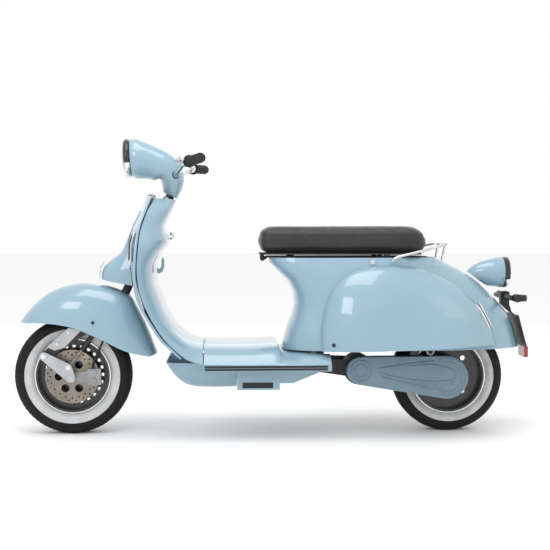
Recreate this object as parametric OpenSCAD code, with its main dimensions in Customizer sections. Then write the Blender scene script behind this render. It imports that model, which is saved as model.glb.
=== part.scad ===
/* [Stance] */
// Distance between the two axles
wheelbase = 1327; // [1250:1:1450]
// Distance from the rear axle back to the reflector's face
tail_overhang = 288; // [270:1:330]
// Lean of the steering axis from upright, in degrees
rake = 25; // [22:0.5:28]

/* [Wheels] */
// Outer radius of the front tyre
front_r = 205; // [195:1:210]
// Outer radius of the rear tyre
rear_r = 197; // [185:1:205]
// Width of both tyres
tyre_w = 100; // [84:1:104]
// Radius where the tyre beads sit on the rim
bead_r = 128; // [120:1:132]
// Width of the rim between its flanges
rim_w = 76; // [64:1:84]
// Thickness of the rim's barrel and web
rim_wall = 6; // [4:0.5:9]
// Radius of the front axle
axle_r = 7.5; // [6:0.5:10]
// Radius of the rear output shaft
shaft_r = 12; // [10:0.5:15]

/* [Brakes] */
// Outer radius of the brake discs
disc_r = 94; // [84:1:98]
// Thickness of the brake discs
disc_t = 4; // [3:0.5:5]
// Distance of the brake disc from the centre plane
disc_y = 53; // [52:0.5:54]

/* [Bodywork] */
// Thickness of the pressed and moulded panels
skin_t = 3; // [2:0.5:4]
// Width over the two side cowls
cowl_span = 484; // [440:2:520]
// Width over the leg shield
shield_w = 476; // [430:2:500]
// Width of the floor over its edge beading
floor_w = 448; // [420:2:470]

/* [Controls] */
// Width over the two grips
bar_span = 680; // [620:2:720]
// Radius of the handlebar tube
bar_r = 11; // [9:0.5:12]
// Radius of the rubber grips
grip_r = 17; // [15.5:0.5:19]

/* [Seat] */
// Length of the saddle
seat_l = 608; // [560:2:640]
// Height of the saddle's cushion
seat_h = 88; // [70:1:100]
// Width of the saddle at its rear
seat_w = 262; // [230:2:290]

/* [Fits] */
// Radial clearance of a shaft that turns in its bore
run_fit = 0.08; // [0.03:0.01:0.1]
// Gap between panels that do not move against each other
seam = 0.4; // [0.3:0.1:1]
// Radial slack of a damper eye round its pin
eye_slack = 2.6; // [2.4:0.1:3]

/* [Hidden] */
$fn = 48;
nominal_front = -705;
nominal_rear = 622;
length = front_r + wheelbase + tail_overhang;
front_x = front_r - length / 2;
rear_x = front_x + wheelbase;
front_shift = front_x - nominal_front;
rear_shift = rear_x - nominal_rear;
// The floor between these two stations takes up any change in wheelbase
stretch_a = -240;
stretch_b = -60;
head = [-368 + front_shift, 828];
pivot = [-796 + front_shift, 281];
damper_top = [-585 + front_shift, 412];
damper_foot = [-712 + front_shift, 242];
swing_pivot = [160 + rear_shift, 240];
rear_damper_top = [500 + rear_shift, 545];
rear_damper_foot = [545 + rear_shift, 292];
motor_at = [299 + rear_shift, 227];
front_axle = [front_x, front_r];
rear_axle_at = [rear_x, rear_r];
fork_y = 66;
leg_y = 76;
leg_t = 8;
link_y = 88;
link_t = 10;
arm_y = 60;
arm_t = 16;
belt_y = 90;
belt_w = 16;
cover_in = 76.3;
cover_out = 128;
cover_r1 = 48;
cover_r2 = 74;
pulley_r1 = 24;
pulley_r2 = 42;
belt_t = 4;
foot_pin_r = 4.5;
seat_hinge = [-40 + rear_shift, 614];
stand_pivot = [-90 + rear_shift, 196];
stand_leg = 186;
battery_z = 226;
shell_blue = [0.61, 0.76, 0.83];
chrome = [0.8, 0.82, 0.84];
black = [0.08, 0.08, 0.09];
silver = [0.7, 0.71, 0.72];

// Shared shape helpers
function sx(x) = x <= stretch_a ? x + front_shift
    : x >= stretch_b ? x + rear_shift
    : x + front_shift + (rear_shift - front_shift) * (x - stretch_a) / (stretch_b - stretch_a);
function place(g) = [for (row = g) [for (p = row) [sx(p[0]), p[1], p[2]]]];
function unit(v) = v / max(norm(v), 0.001);
// Point at parameter t, from 0 to len - 1, on a smooth curve through the points
function through(p, t) = let (
        n = len(p) - 1, i = min(floor(t), n - 1), f = t - i,
        a = p[max(i - 1, 0)], b = p[i], c = p[i + 1], d = p[min(i + 2, n)])
    0.5 * (2 * b + (c - a) * f + (2 * a - 5 * b + 4 * c - d) * f * f
        + (3 * b - a - 3 * c + d) * f * f * f);
function sampled(p, n) = [for (k = [0:n]) through(p, k * (len(p) - 1) / n)];
function grid_normal(g, i, j) = let (r = len(g) - 1, c = len(g[0]) - 1,
        a = g[min(i + 1, r)][j] - g[max(i - 1, 0)][j],
        b = g[i][min(j + 1, c)] - g[i][max(j - 1, 0)])
    unit(cross(a, b));
function sunk(g, t) = [for (i = [0:len(g) - 1]) [for (j = [0:len(g[0]) - 1])
    g[i][j] - t * grid_normal(g, i, j)]];
function flat(g) = [for (row = g) each row];

// Closed shell between an outer grid of points and an inner one of the same size; a ring's
// last column joins its first
module skin(outer, inner, ring = false) {
    r = len(outer);
    n = len(outer[0]);
    c = ring ? n + 1 : n;
    m = r * n;
    function id(i, j, s) = s * m + i * n + j % n;
    function two(a, b, d, e) = [[a, b, d], [a, d, e]];
    faces = concat(
        [for (i = [0:r - 2], j = [0:c - 2])
            each two(id(i, j, 0), id(i, j + 1, 0), id(i + 1, j + 1, 0), id(i + 1, j, 0))],
        [for (i = [0:r - 2], j = [0:c - 2])
            each two(id(i, j, 1), id(i + 1, j, 1), id(i + 1, j + 1, 1), id(i, j + 1, 1))],
        [for (j = [0:c - 2])
            each two(id(0, j, 0), id(0, j, 1), id(0, j + 1, 1), id(0, j + 1, 0))],
        [for (j = [0:c - 2])
            each two(id(r - 1, j, 0), id(r - 1, j + 1, 0), id(r - 1, j + 1, 1), id(r - 1, j, 1))],
        ring ? [] : [for (i = [0:r - 2])
            each two(id(i, 0, 0), id(i + 1, 0, 0), id(i + 1, 0, 1), id(i, 0, 1))],
        ring ? [] : [for (i = [0:r - 2]) each two(id(i, c - 1, 0), id(i, c - 1, 1),
            id(i + 1, c - 1, 1), id(i + 1, c - 1, 0))]);
    polyhedron(points = concat(flat(outer), flat(inner)), faces = faces);
}
// Solid with rings of points for its sections and flat ends
module lofted(rings) {
    r = len(rings);
    c = len(rings[0]);
    faces = concat(
        [for (i = [0:r - 2], j = [0:c - 1]) let (k = (j + 1) % c)
            each [[i * c + j, (i + 1) * c + j, (i + 1) * c + k],
                  [i * c + j, (i + 1) * c + k, i * c + k]]],
        [for (j = [1:c - 2]) [0, j, j + 1]],
        [for (j = [1:c - 2]) [(r - 1) * c, (r - 1) * c + j + 1, (r - 1) * c + j]]);
    polyhedron(points = flat(rings), faces = faces);
}
// Tube swept along points with a chosen number of sides
module hose(path, r, sides) {
    n = len(path) - 1;
    rings = [for (i = [0:n]) let (
            t = unit(path[min(i + 1, n)] - path[max(i - 1, 0)]),
            u = unit(cross(t, [0.13, 0.97, 0.2])), v = cross(t, u))
        [for (k = [0:sides - 1]) path[i] + r * (u * cos(360 * k / sides)
            + v * sin(360 * k / sides))]];
    lofted(rings);
}
// Rod or tube between two points
module rod(a, b, r, bore = 0) {
    d = b - a;
    translate(a) rotate([0, acos(d[2] / norm(d)), atan2(d[1], d[0])]) difference() {
        cylinder(h = norm(d), r = r);
        if (bore > 0) translate([0, 0, -1]) cylinder(h = norm(d) + 2, r = bore);
    }
}
// Cylinder along Y from y0 to y1 at a point of the centre plane
module pin_y(at, r, y0, y1) {
    translate([at[0], y1, at[1]]) rotate([90, 0, 0]) cylinder(h = y1 - y0, r = r);
}
// Outline drawn in the X-Z plane and given a thickness from y0 to y1
module plate_y(y0, y1) {
    translate([0, y1, 0]) rotate([90, 0, 0]) linear_extrude(y1 - y0) children();
}
module both_sides() {
    children();
    mirror([0, 1, 0]) children();
}
module steer() {
    translate([head[0], 0, head[1]]) rotate([0, rake, 0]) children();
}

// Rear body sections by height: [height, front, rear, half width]
body_levels = [[302, 30, 880, 176], [340, 38, 870, 175], [380, 50, 858, 173],
    [420, 67, 840, 170], [460, 75, 804, 166], [500, 68, 766, 160], [540, 47, 720, 152],
    [575, 10, 667, 144], [600, -14, 615, 137], [620, -18, 577, 130]];
function level(z, k) = lookup(z, [for (l = body_levels) [l[0], l[k]]]);
// Half width of the rear body at a station and height, in nominal coordinates
function body_y(x, z) = let (
        f = level(z, 1), r = level(z, 2), c = (f + r) / 2, a = (r - f) / 2,
        q = min(abs(x - c) / a, 0.999), e = x < c ? 0.5 : 0.9, co = pow(q, 1 / e))
    level(z, 3) * pow(sqrt(1 - co * co), e);
function body_ring(z, t) = let (
        f = level(z, 1) + t, r = level(z, 2) - t, w = level(z, 3) - t,
        c = (f + r) / 2, a = (r - f) / 2, n = 36)
    [for (j = [0:n - 1]) let (q = 180 - 360 * j / n, e = cos(q) < 0 ? 0.5 : 0.9)
        [c + a * sign(cos(q)) * pow(abs(cos(q)), e), w * sign(sin(q)) * pow(abs(sin(q)), e), z]];

// Leg shield sections: [height, edge station, half width, forward bulge]
shield_levels = [[836, -418, 60, 26], [825, -426, 100, 25], [775, -443, 165, 22],
    [730, -457, 205, 33], [672, -466, 228, 40], [587, -472, 237, 28], [512, -468, 238, 20],
    [461, -452, 237, 10], [408, -423, 235, 0], [349, -385, 232, -18], [321, -357, 230, -24],
    [284, -319, 228, -20]];
function shield_at(z, k) = lookup(z, [for (l = shield_levels) [l[0], l[k]]]);
function shield_x(z, y) = let (v = y / shield_at(z, 2)) shield_at(z, 1) - shield_at(z, 3) * (1 - v * v);

// Sheet from edge to edge over a centre line; flatness sets how square its shoulders are
function sheet(centre, edge, rows, cols, flatness, turn = 1) = let (
        t = sampled(centre, rows), e = sampled(edge, rows))
    place([for (i = [0:rows]) [for (j = [0:cols]) let (
            v = turn * sin(90 * (2 * j / cols - 1)), k = 1 - pow(abs(v), flatness))
        [e[i][0] + (t[i][0] - e[i][0]) * k, e[i][2] * v, e[i][1] + (t[i][1] - e[i][1]) * k]]]);
// Sheet that arches over its centre line; a power under 1 gives it squarer shoulders
function arch(centre, edge, rows, cols, turn = 1, power = 1) = let (
        t = sampled(centre, rows), e = sampled(edge, rows))
    place([for (i = [0:rows]) [for (j = [0:cols]) let (
            q = 180 * j / cols - 90, k = pow(max(cos(q), 0), power),
            v = turn * sign(sin(q)) * pow(abs(sin(q)), power))
        [e[i][0] + (t[i][0] - e[i][0]) * k, e[i][2] * v, e[i][1] + (t[i][1] - e[i][1]) * k]]]);

knee_centre = [[-342, 822], [-356, 790], [-372, 757], [-384, 728], [-372, 692], [-374, 665],
    [-398, 633], [-418, 589], [-415, 536], [-399, 489], [-377, 435], [-345, 382], [-308, 347],
    [-275, 332], [-246, 326]];
knee_edge = [[-410, 826, 80], [-430, 790, 140], [-440, 760, 172], [-449, 730, 199],
    [-456, 695, 216], [-459, 662, 226], [-462, 630, 229], [-464, 589, 232], [-460, 540, 233],
    [-450, 492, 233], [-428, 440, 232], [-402, 392, 230], [-366, 340, 227], [-306, 287, 225],
    [-246, 264, 224]];
nose_centre = [[-468, 785], [-496, 730], [-518, 680], [-540, 636], [-575, 610], [-602, 578],
    [-606, 542]];
nose_edge = [[-468, 785, 14], [-493, 730, 26], [-509, 678, 36], [-509, 632, 46],
    [-503, 598, 54], [-498, 560, 60], [-493, 522, 62]];
fender_centre = [[-890, 396], [-863, 431], [-825, 469], [-784, 500], [-727, 521], [-666, 530],
    [-612, 526], [-560, 514], [-508, 488], [-478, 436], [-448, 376], [-411, 284]];
fender_edge = [[-884, 390, 12], [-862, 392, 48], [-825, 394, 72], [-791, 393, 86],
    [-738, 388, 98], [-690, 377, 103], [-640, 357, 105], [-593, 335, 105], [-540, 308, 104],
    [-505, 293, 100], [-470, 284, 94], [-436, 276, 84]];

module panel(grid) { skin(grid, sunk(grid, skin_t)); }

// Frame
// Bent tube through the points, smoothed between them
module tube_run(path, r, steps, sides = 14) {
    hose(flat(place([sampled(path, steps)])), r, sides);
}
module frame() {
    spine = [[-462, 0, 625], [-446, 0, 560], [-440, 0, 500], [-426, 0, 452], [-394, 0, 408],
        [-352, 0, 358], [-304, 0, 316], [-278, 0, 287], [-268, 0, 252]];
    rail = [[-268, 124, 250], [-190, 122, 250], [-100, 124, 248], [10, 128, 250],
        [110, 130, 258], [155, 122, 288], [178, 116, 340], [196, 112, 420], [212, 112, 520],
        [250, 112, 572], [340, 112, 575], [430, 112, 575], [510, 106, 575], [545, 70, 575]];
    color(black) {
        difference() {
            union() {
                steer() translate([0, 0, -240]) cylinder(h = 232, r = 20);
                tube_run(spine, 10.5, 16, 12);
                translate([sx(-420), 0, 745]) rotate([0, -90, 0])
                    cylinder(h = -420 - shield_x(756, 0) - skin_t - seam, r = 9);
            }
            steer() translate([0, 0, -300]) cylinder(h = 320, r = 15 + run_fit);
            steer() translate([0, 0, -300]) cylinder(h = 60, r = 20.3);
        }
        pin_y([sx(-268), 250], 14, -130, 130);
        pin_y([sx(110), 258], 12, -130, 130);
        pin_y([sx(545), 575], 12, -76, 76);
        pin_y(swing_pivot, 9, -94, 94);
        both_sides() {
            tube_run(rail, 12, 26, 10);
            plate_y(82, 94) hull() {
                translate(swing_pivot) circle(r = 20);
                translate([sx(110), 258]) circle(r = 12);
            }
            plate_y(110, 118) hull() {
                translate(rear_damper_top) circle(r = 12);
                translate([rear_damper_top[0], 575]) circle(r = 12);
            }
            pin_y(rear_damper_top, 6, 88, 114);
            pin_y([sx(-118), 242], 8, 120, 148.6);
            pin_y([sx(0), 246], 8, 120, 148.6);
            pin_y([sx(300), 575], 9, 112, body_y(300, 587) - skin_t - 0.6);
            for (x = [-200, -20]) {
                translate([sx(x), 130, 240]) cylinder(h = 76, r = 8);
                translate([sx(x) - 15, 112, battery_z - 4]) cube([30, 18, 22]);
            }
            pin_y(stand_pivot, 10, 84, 96);
            rod([stand_pivot[0], 90, stand_pivot[1] + 3], [stand_pivot[0], 128, 228], 7);
        }
        for (x = [-200, -20]) translate([sx(x) - 15, -113, battery_z - 4])
            cube([30, 226, 4 - seam]);
        pin_y(stand_pivot, 6, -96, 96);
    }
}
module head_bearings() {
    color(silver) for (s = [-248, -7.7]) steer() translate([0, 0, s]) difference() {
        cylinder(h = 7.7, r = 20);
        translate([0, 0, -1]) cylinder(h = 10, r = 15 + run_fit);
    }
}

// Front bodywork
module leg_shield() {
    rows = 22;
    cols = 16;
    grid = place([for (i = [0:rows]) let (l = through(shield_levels, i * (len(shield_levels) - 1) / rows))
        [for (j = [0:cols]) let (v = 1 - 2 * j / cols)
            [l[1] - l[3] * (1 - v * v), l[2] * v * shield_w / 476, l[0]]]]);
    color(shell_blue) difference() {
        panel(grid);
        steer() translate([0, 0, -350]) cylinder(h = 90, r = 24);
    }
}
module knee_panel() {
    color(shell_blue) panel(sheet(knee_centre, knee_edge, 32, 16, 5));
}
module horn_cover() {
    color(shell_blue) panel(arch(nose_centre, nose_edge, 16, 12, -1));
}
module front_trim() {
    path = [for (k = [-6:6]) let (y = k * 9) [sx(shield_x(836, y) + 1), y, 840.5]];
    color(chrome) {
        hose(path, 4, 10);
        translate([sx(-607), 0, 572]) plate_y(-16, 16)
            polygon([[-6, -26], [-2, -26], [-1, 8], [12, 30], [9, 33], [-4, 14]]);
    }
}
function signal_y(x, z) = seam
    + max([for (q = [0:30:330]) cowl_depth(x + 8.2 * cos(q), z + 8.2 * sin(q))]);
module side_signals() {
    color(chrome) both_sides() {
        for (k = [0:5]) let (z = 606 + 20 * k)
            pin_y([sx(shield_x(z, 190) - 12), z], 8, 184, 196);
        for (k = [0:4]) let (x = 708 + 11 * k, z = 454 - 20 * k)
            pin_y([sx(x), z], 8, signal_y(x, z), signal_y(x, z) + 6);
    }
}

// Floor
module floor_board() {
    half = floor_w / 2;
    centre = [[-243, 325], [-150, 323], [-60, 324], [8, 326], [22, 299], [100, 297], [188, 295]];
    edge = [[-243, 264, half], [-150, 262, half], [-60, 261, half], [8, 261, half],
        [22, 261, half], [100, 261, half - 2], [188, 261, half - 4]];
    color(shell_blue) {
        difference() {
            panel(sheet(centre, edge, 18, 16, 6));
            both_sides() translate([sx(118), 98, 240]) cube([80, 52, 80]);
        }
        both_sides() translate([sx(-243), -half + 2, 240]) cube([sx(188) - sx(-243), 3, 20]);
    }
}
module floor_strips() {
    half = floor_w / 2;
    color(black) both_sides() for (z = [244, 253])
        translate([sx(-240), -half - 1.4, z]) cube([sx(175) - sx(-240), 3, 6]);
}
module under_cover() {
    centre = [[-378, 256], [-350, 212], [-308, 177], [-250, 166], [-131, 166]];
    edge = [[-372, 261, 148], [-340, 261, 150], [-305, 261, 151], [-250, 261, 152],
        [-131, 261, 152]];
    color(shell_blue) {
        panel(sheet(centre, edge, 12, 16, 5, -1));
        both_sides() plate_y(149, 152) difference() {
            polygon([[sx(-130.7), 261], [sx(150), 261], [sx(150), 226], [sx(60), 190],
                [sx(16), 190], [sx(16), 168], [sx(-130.7), 168]]);
            translate([sx(-112), 174]) square([105, 20]);
        }
    }
}

// Rear bodywork
module rear_body() {
    levels = [302, 320, 340, 360, 380, 400, 420, 440, 460, 480, 500, 520, 540, 558, 575, 588,
        600, 610, 620];
    color(shell_blue) skin(place([for (z = levels) body_ring(z, 0)]),
        place([for (z = levels) body_ring(z, skin_t)]), true);
}
cowl_front = 158;
cowl_rear = 768;
cowl_peak = 420;
cowl_base = 302;
cowl_rise = 293;
function cowl_n(x) = x < cowl_peak ? 2.8 : 1.8;
function cowl_x(x) = x < cowl_peak ? (cowl_peak - x) / (cowl_peak - cowl_front + 3)
    : (x - cowl_peak) / (cowl_rear - cowl_peak + 3);
function cowl_top(x) = cowl_base + cowl_rise * pow(1 - pow(cowl_x(x), cowl_n(x)), 1 / cowl_n(x));
function cowl_point(x, k, t) = let (
        z0 = cowl_base + 0.03 * (x - cowl_front), z1 = max(cowl_top(x), z0 + 8),
        z = z0 + (z1 - z0) * k, n = cowl_n(x), zz = min((z - cowl_base) / cowl_rise, 1),
        s = min(pow(pow(cowl_x(x), n) + pow(zz, n), 1 / n), 1),
        out = (cowl_span / 2 - 176) * pow(1 - pow(s, 2.4), 0.6))
    [x, -(body_y(x, z) + seam + t + out), z];
// Distance of the cowl's outer face from the centre plane
function cowl_depth(x, z) = let (z0 = cowl_base + 0.03 * (x - cowl_front))
    -cowl_point(x, min(max((z - z0) / (cowl_top(x) - z0), 0), 1), skin_t)[1];
module cowl(side) {
    xs = [for (i = [0:26]) cowl_peak - (cowl_peak - cowl_front) * cos(90 * i / 13)
        * (i <= 13 ? 1 : 0) + (i > 13 ? (cowl_rear - cowl_peak) * sin(90 * (i - 13) / 13) : 0)];
    ks = [for (j = [0:14]) sin(90 * j / 14)];
    outer = place([for (x = xs) [for (k = ks) cowl_point(x, k, skin_t)]]);
    inner = place([for (x = xs) [for (k = ks) cowl_point(x, k, 0)]]);
    color(shell_blue) mirror([0, side > 0 ? 1 : 0, 0]) skin(outer, inner);
}
module cowl_left() { cowl(-1); }
module cowl_right() { cowl(1); }
module storage_bucket() {
    wall = 3;
    lip = [[-24, 84], [40, 104], [400, 110], [470, 96], [540, 58]];
    half = concat(lip, [for (k = [len(lip) - 1:-1:0]) [lip[k][0], -lip[k][1]]]);
    x0 = sx(105);
    x1 = sx(395);
    color(black) {
        difference() {
            union() {
                translate([0, 0, 621]) linear_extrude(wall)
                    polygon([for (p = half) [sx(p[0]), p[1]]]);
                translate([x0, -92, 400]) cube([x1 - x0, 184, 222]);
            }
            translate([x0 + wall, -92 + wall, 400 + wall])
                cube([x1 - x0 - 2 * wall, 184 - 2 * wall, 230]);
        }
        both_sides() plate_y(24, 32) difference() {
            hull() {
                translate(seat_hinge) circle(r = 7);
                translate([sx(-26), 621]) square([8, 3]);
            }
            translate(seat_hinge) circle(r = 4 + run_fit);
        }
    }
}
module battery() {
    color(black) translate([sx(-232), -104, battery_z]) cube([sx(6) - sx(-232), 208, 74]);
}
module motor_controller() {
    color(silver) translate([sx(200), -70, 360]) {
        cube([130, 140, 30]);
        for (k = [0:8]) translate([4 + 14.5 * k, 0, 29.5]) cube([5, 140, 10.2]);
    }
}
module tail_lamp_shell() {
    rings = [[724, 546, 38, 24, -53], [737, 554, 42, 34, -35], [754, 560, 46, 42, -18],
        [777, 564, 50, 49, -6], [805, 565, 54, 54, 0], [822, 565, 54, 54, 0]];
    color(shell_blue) lofted([for (r = rings) [for (j = [0:35]) let (q = 10 * j)
        [sx(r[0] + r[2] * cos(q) * sin(r[4])), -r[3] * sin(q),
            r[1] + r[2] * cos(q) * cos(r[4])]]]);
}
module along_x(at, h, r0, r1) {
    translate([at[0], 0, at[1]]) rotate([0, 90, 0]) cylinder(h = h, r1 = r0, r2 = r1);
}
module tail_lamp_ring() {
    color(black) difference() {
        along_x([sx(822.3), 565], 20, 55, 55);
        along_x([sx(822), 565], 22, 46, 46);
    }
}
module tail_lamp_lens() {
    color("firebrick") translate([sx(822.6), 0, 565]) rotate([0, 90, 0])
        rotate_extrude() polygon([[0, 0], [45.6, 0], [45.6, 14], [38, 20], [20, 24], [0, 25]]);
}
module plate_holder() {
    color(shell_blue) {
        plate_y(-12, 12) polygon([[sx(872), 402], [sx(817), 452], [sx(817), 494], [sx(836), 498],
            [sx(848), 486], [sx(848), 450], [sx(856), 424], [sx(876), 404]]);
        plate_y(-72, 72) polygon([[sx(861), 414], [sx(866), 415], [sx(897), 301], [sx(892), 300.4]]);
    }
}
module tail_signals() {
    color(black) both_sides() {
        pin_y([sx(832), 478], 9, 12.3, 112);
        translate([sx(846), 112, 478]) rotate([0, 90, 0]) cylinder(h = 34, r1 = 14, r2 = 11);
        pin_y([sx(846), 478], 14, 98, 126);
    }
}
module rear_reflector() {
    color("firebrick") translate([sx(896), -38, 262]) cube([length / 2 - sx(896), 76, 38]);
}
module grab_rail() {
    path = [[404, body_y(404, 600) + 6, 607], [420, 146, 622], [480, 143, 637],
        [540, 134, 652], [586, 112, 664], [604, 84, 667], [608, 0, 667]];
    color(chrome) both_sides() {
        tube_run(path, 5, 24, 12);
        rod([sx(604), 62, 667], [sx(592), 58, 607], 4);
    }
}
module rear_damper_bodies() {
    color(black) both_sides() damper_axis(rear_damper_top, rear_damper_foot, 98) difference() {
        union() {
            translate([0, 0, 12]) cylinder(h = 150, r = 20);
            rotate([90, 0, 0]) translate([0, 0, -8]) cylinder(h = 16, r = 14);
        }
        rotate([90, 0, 0]) translate([0, 0, -9]) cylinder(h = 18, r = 6 + run_fit);
        translate([0, 0, 22]) cylinder(h = 150, r = 14);
    }
}
module rear_damper_rods() {
    color(chrome) both_sides() damper_axis(rear_damper_top, rear_damper_foot, 98) {
        translate([0, 0, 90]) cylinder(h = rear_damper_l - 101, r = 6);
        translate([0, 0, 80]) cylinder(h = 12, r = 14 - run_fit);
        translate([0, 0, rear_damper_l]) eye(14, 6 + eye_slack, 16);
    }
}
module bag_hook() {
    color(shell_blue) plate_y(-7, 7) polygon([[sx(-412), 566], [sx(-404), 562], [sx(-392), 568],
        [sx(-386), 584], [sx(-386), 610], [sx(-391), 622], [sx(-396), 610], [sx(-396), 590],
        [sx(-403), 578], [sx(-412), 584]]);
}
module seat_lock() {
    y = body_y(336, 596) + seam;
    color(chrome) pin_y([sx(336), 606], 9, -y - 6, -y);
}
module ignition_switch() {
    color(black) translate([sx(-370), 70, 695]) rotate([0, 90, 0]) {
        cylinder(h = 9, r = 15);
        translate([-9, -2, 8]) cube([18, 4, 8]);
    }
}

// Steering
bar_in = [-345 + front_shift, 40, 905];
bar_mid = [-304 + front_shift, 176, 943];
bar_end = [-248 + front_shift, bar_span / 2, 948];
function bar_at(y) = bar_mid + (bar_end - bar_mid) * (y - bar_mid[1]) / (bar_end[1] - bar_mid[1]);
module steering_fork() {
    crown = [sx(-549), 440];
    color(black) {
        difference() {
            union() {
                steer() translate([0, 0, -428]) cylinder(h = 498, r = 15);
                translate([sx(-345), 30, 905]) rotate([90, 0, 0]) cylinder(h = 60, r = 19);
            }
            pin_y([sx(-345), 905], bar_r + run_fit, -40, 40);
        }
        pin_y(crown, 13, -leg_y - 1, leg_y + 1);
        both_sides() {
            plate_y(leg_y, leg_y + leg_t) {
                hull() {
                    translate(crown - [4, 10]) circle(r = 10);
                    translate(pivot) circle(r = 15);
                }
            }
            pin_y(damper_top, 5, fork_y - 8, leg_y + 1);
            pin_y(pivot, 6, leg_y, link_y + link_t + 3);
        }
    }
}
module front_fender() {
    color(shell_blue) difference() {
        panel(arch(fender_centre, fender_edge, 30, 18, 1, 0.77));
        steer() translate([0, 0, -420]) cylinder(h = 180, r = 19);
    }
}
headset_rings = [[-500, 968, 66, 66, -4], [-480, 968, 72, 72, -2], [-445, 960, 64, 66, 2],
    [-412, 948, 58, 62, 15], [-385, 935, 55, 62, 35], [-365, 918, 48, 60, 60],
    [-357, 892, 42, 52, 90], [-358, 866, 35, 40, 105], [-364, 838, 27, 28, 115]];
function headset_grid(t) = let (rings = sampled(headset_rings, 16))
    place([for (r = rings) [for (j = [0:31]) let (q = 360 * j / 32)
        [r[0] + (r[2] - t) * cos(q) * sin(r[4]), (r[3] - t) * sin(q),
         r[1] + (r[2] - t) * cos(q) * cos(r[4])]]]);
module headset() {
    color(shell_blue) difference() {
        skin(headset_grid(0), headset_grid(skin_t), true);
        both_sides() rod(bar_in, bar_in + 1.3 * (bar_mid - bar_in), bar_r + 2);
    }
}
module lamp_frame() {
    translate([sx(-504), 0, 968]) rotate([0, -94, 0]) children();
}
module headlamp_ring() {
    color(black) lamp_frame() rotate_extrude() polygon([[55, -4], [62, -4], [68, 0.5], [69, 8],
        [66, 16], [60, 19], [55, 18]]);
}
module headlamp_lens() {
    color([0.9, 0.93, 0.95]) lamp_frame() rotate_extrude()
        polygon([[0, 0], [54.6, 0], [54.6, 16], [48, 22], [30, 26], [0, 28]]);
}
module handlebar() {
    color(chrome) {
        pin_y([sx(-345), 905], bar_r, -43, 43);
        both_sides() {
            rod(bar_in - 3 * unit(bar_mid - bar_in), bar_mid + 2 * unit(bar_mid - bar_in), bar_r);
            rod(bar_at(bar_mid[1] - 2), bar_at(bar_span / 2 - 8), bar_r);
        }
    }
}
module grip(clear) {
    difference() {
        union() {
            rod(bar_at(218), bar_end, grip_r - 1);
            rod(bar_at(216), bar_at(221), grip_r + 4);
            for (k = [0:11]) rod(bar_at(226 + 9 * k), bar_at(231 + 9 * k), grip_r);
        }
        rod(bar_at(210), bar_at(bar_span / 2 - 5), bar_r + clear);
    }
}
module left_grip() { color(black) mirror([0, 1, 0]) grip(run_fit); }
module throttle_grip() { color(black) grip(run_fit); }
module control_perches() {
    color(chrome) both_sides() difference() {
        union() {
            rod(bar_at(180), bar_at(212), grip_r - 1);
            translate(bar_at(192) + [-34, -12, -8]) cube([34, 30, 20]);
        }
        rod(bar_at(170), bar_at(222), bar_r + run_fit);
        translate(bar_at(196) + [-26, 4, -20]) cylinder(h = 50, r = 4 + run_fit);
        translate(bar_at(196) + [-44, -30, -2]) cube([36, 60, 7.6]);
    }
}
module lever(side) {
    a = bar_at(196) + [-26, 4, 1.8];
    color(chrome) mirror([0, side < 0 ? 1 : 0, 0]) {
        translate(a - [0, 0, 14]) cylinder(h = 30, r = 4);
        translate(a - [0, 0, 3.4]) cylinder(h = 6.8, r = 8);
        hose(sampled([a - [2, 6, 0], a + [-14, 30, 0], a + [-2, 70, 0], a + [16, 124, 0]], 15),
            3.4, 10);
        translate(a + [16, 124, 0]) sphere(r = 6);
    }
}
module left_brake_lever() { lever(-1); }
module right_brake_lever() { lever(1); }
module fork_covers() {
    color(silver) both_sides() plate_y(leg_y + leg_t + seam, link_y - seam) polygon([[sx(-786), 312],
        [sx(-712), 378], [sx(-668), 370], [sx(-726), 310], [sx(-760), 300]]);
}

// Front link and wheel
module front_link() {
    color(black) both_sides() difference() {
        union() {
            plate_y(link_y, link_y + link_t) hull() {
                translate(pivot) circle(r = 14);
                translate(damper_foot) circle(r = 12);
                translate(front_axle) circle(r = 16);
            }
            pin_y(front_axle, axle_r, -1, link_y + 6);
            pin_y(front_axle, 12, fork_y - 4, link_y + 2);
            pin_y(damper_foot, foot_pin_r, fork_y - 8, link_y + 4);
            pin_y(front_axle, 12, link_y + link_t - 1, link_y + link_t + 6);
        }
        pin_y(pivot, 6 + run_fit, link_y - 1, link_y + link_t + 1);
    }
}
module front_caliper() {
    gap = disc_t / 2 + 0.8;
    color(silver) difference() {
        union() {
            translate([front_x + 55, -70, front_r - 28]) cube([46, 28, 56]);
            for (z = [-14, 14]) pin_y([front_x + 76, front_r + z], 11, -75, -69);
            plate_y(-61.6, -58.4) hull() {
                translate(front_axle) circle(r = 14);
                translate(front_axle + [66, 0]) circle(r = 20);
            }
        }
        pin_y(front_axle, axle_r + run_fit, -70, -50);
        translate([front_x + 50, -disc_y - gap, front_r - 34]) cube([47, 2 * gap, 68]);
    }
}
module brake_hose() {
    path = [[-632, -64, 233.3], [-632, -64, 246], [-627, -65, 262], [-616, -66, 286],
        [-602, -66, 316], [-588, -66, 350], [-574, -66, 380], [-563, -66, 404],
        [-555, -66, 427.5]];
    color(black) hose([for (p = path) [sx(p[0]), p[1], p[2]]], 4, 10);
}
module spun_y(at) {
    translate([at[0], 0, at[1]]) rotate([90, 0, 0]) rotate_extrude($fn = 96) children();
}
module tyre_profile(r) {
    w = tyre_w / 2;
    seat = rim_w / 2 - 4.4;
    half = [[bead_r, seat], [bead_r + 7, seat + 0.2], [bead_r + 18, w - 5],
        [(bead_r + r) / 2 + 4, w], [r - 20, w - 3], [r - 7, w - 12], [r, w - 22]];
    polygon(concat(half, [for (k = [len(half) - 1:-1:0]) [half[k][0], -half[k][1]]]));
}
module front_tyre() { color(black) spun_y(front_axle) tyre_profile(front_r); }
module rear_tyre() { color(black) spun_y(rear_axle_at) tyre_profile(rear_r); }
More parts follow.
